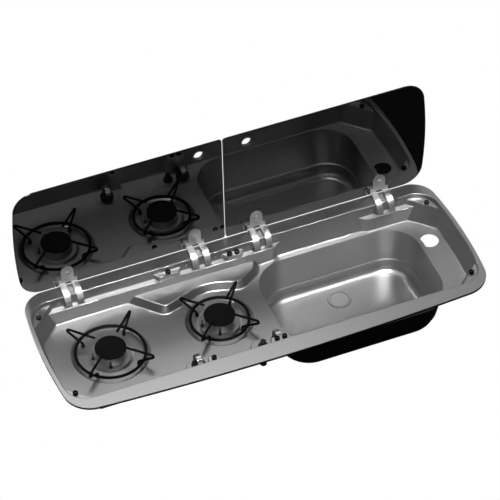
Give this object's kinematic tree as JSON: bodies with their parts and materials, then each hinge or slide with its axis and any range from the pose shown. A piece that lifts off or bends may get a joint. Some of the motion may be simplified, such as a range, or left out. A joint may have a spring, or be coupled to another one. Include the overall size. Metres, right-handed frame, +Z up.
{
  "type": "drop-in hob and sink with folding glass lids",
  "caption": "Stainless drop-in camper unit with a gas hob beside a deep sink bowl, covered by folding black glass lids on goose-neck hinges.",
  "frame": {"origin": "middle of the rim's length and depth, in the plane of the worktop that the rim's seal rests on", "axes": "+X along the long side towards the sink's end, +Y towards the hinged rear edge, +Z up"},
  "size_m": [0.9, 0.3535, 0.4629],
  "materials": {
    "stainless_tray": "fine satin stainless sheet",
    "stainless_bowl": "brushed stainless bowl",
    "black_glass": "black toughened glass, polished",
    "black_enamel": "matte black enamel",
    "black_plastic": "fine-grained black plastic",
    "grey_plastic": "dark grey plastic",
    "bright_trim": "polished bright strip",
    "black_rubber": "soft black rubber",
    "black_coating": "sprayed sound-deadening coat",
    "zinc_steel": "bright zinc-plated steel",
    "aluminium_casting": "plain cast aluminium",
    "brass": "turned brass",
    "copper_pipe": "drawn copper pipe",
    "ceramic": "white glazed ceramic"
  },
  "bodies": {
    "hob_and_sink": {"tray": "stainless_tray", "rim_seal": "black_rubber", "sink_bowl": "stainless_bowl", "bowl_coating": "black_coating", "waste_body": "stainless_bowl", "waste_gasket": "black_rubber", "waste_nut": "black_plastic", "gas_rail": "zinc_steel", "igniter_body": "black_plastic", "igniter_nut": "black_plastic", "bumper_rings": "black_rubber", "bumper_screws": "zinc_steel", "hinge_pins": "zinc_steel", "hinge_rivets": "zinc_steel", "left_burner_cup": "aluminium_casting", "left_burner_head": "aluminium_casting", "left_electrode": "ceramic", "left_thermocouple": "copper_pipe", "left_valve_body": "brass", "left_gas_pipe": "copper_pipe", "right_burner_cup": "aluminium_casting", "right_burner_head": "aluminium_casting", "right_electrode": "ceramic", "right_thermocouple": "copper_pipe", "right_valve_body": "brass", "right_gas_pipe": "copper_pipe", "left_outer_bracket": "zinc_steel", "left_inner_bracket": "zinc_steel", "right_inner_bracket": "zinc_steel", "right_outer_bracket": "zinc_steel"},
    "left_lid": {"left_glass": "black_glass", "left_grip_ring": "grey_plastic", "left_hinge_screws": "zinc_steel", "left_cap_nuts": "black_plastic", "left_outer_strap": "zinc_steel", "left_outer_spring": "zinc_steel", "left_inner_strap": "zinc_steel", "left_inner_spring": "zinc_steel"},
    "right_lid": {"right_glass": "black_glass", "right_grip_ring": "grey_plastic", "right_hinge_screws": "zinc_steel", "right_cap_nuts": "black_plastic", "right_inner_strap": "zinc_steel", "right_inner_spring": "zinc_steel", "right_outer_strap": "zinc_steel", "right_outer_spring": "zinc_steel"},
    "left_tap_stem": {"left_valve_stem": "zinc_steel"},
    "left_tap_knob": {"left_knob": "black_plastic", "left_knob_trim": "bright_trim"},
    "left_pan_stand": {"left_pan_support": "black_enamel", "left_support_feet": "black_rubber"},
    "left_flame_cap": {"left_burner_cap": "black_enamel"},
    "right_tap_stem": {"right_valve_stem": "zinc_steel"},
    "right_tap_knob": {"right_knob": "black_plastic", "right_knob_trim": "bright_trim"},
    "right_pan_stand": {"right_pan_support": "black_enamel", "right_support_feet": "black_rubber"},
    "right_flame_cap": {"right_burner_cap": "black_enamel"},
    "waste_plug": {"sink_plug": "bright_trim"},
    "igniter_push": {"igniter_button": "grey_plastic"}
  },
  "joints": [
    {"name": "left_lid_hinge", "type": "hinge", "parent": "hob_and_sink", "child": "left_lid", "pos_m": [-0.20175, 0.1565, -0.0129], "axis": [1, 0, 0], "range_deg": [0, 91.1]},
    {"name": "right_lid_hinge", "type": "hinge", "parent": "hob_and_sink", "child": "right_lid", "pos_m": [0.20175, 0.1565, -0.0129], "axis": [1, 0, 0], "range_deg": [0, 91.1]},
    {"name": "left_tap_turn", "type": "hinge", "parent": "hob_and_sink", "child": "left_tap_stem", "pos_m": [-0.1625, -0.0915, -0.05], "axis": [0, 0, 1], "range_deg": [0, 210]},
    {"name": "left_tap_push", "type": "slide", "parent": "left_tap_stem", "child": "left_tap_knob", "axis": [0, 0, -1], "range_m": [0, 0.0025], "stiffness_N_per_m": 600, "springref_m": -0.002},
    {"name": "left_pan_stand_lift", "type": "slide", "parent": "hob_and_sink", "child": "left_pan_stand", "axis": [0, 0, 1], "range_m": [0, 0.06]},
    {"name": "left_flame_cap_lift", "type": "slide", "parent": "hob_and_sink", "child": "left_flame_cap", "axis": [0, 0, 1], "range_m": [0, 0.026]},
    {"name": "right_tap_turn", "type": "hinge", "parent": "hob_and_sink", "child": "right_tap_stem", "pos_m": [0.005, -0.091, -0.05], "axis": [0, 0, 1], "range_deg": [0, 210]},
    {"name": "right_tap_push", "type": "slide", "parent": "right_tap_stem", "child": "right_tap_knob", "axis": [0, 0, -1], "range_m": [0, 0.0025], "stiffness_N_per_m": 600, "springref_m": -0.002},
    {"name": "right_pan_stand_lift", "type": "slide", "parent": "hob_and_sink", "child": "right_pan_stand", "axis": [0, 0, 1], "range_m": [0, 0.06]},
    {"name": "right_flame_cap_lift", "type": "slide", "parent": "hob_and_sink", "child": "right_flame_cap", "axis": [0, 0, 1], "range_m": [0, 0.026]},
    {"name": "waste_plug_lift", "type": "slide", "parent": "hob_and_sink", "child": "waste_plug", "axis": [0, 0, 1], "range_m": [0, 0.05]},
    {"name": "igniter_push_slide", "type": "slide", "parent": "hob_and_sink", "child": "igniter_push", "axis": [0, 0, -1], "range_m": [0, 0.004], "stiffness_N_per_m": 500, "springref_m": -0.002}
  ]
}
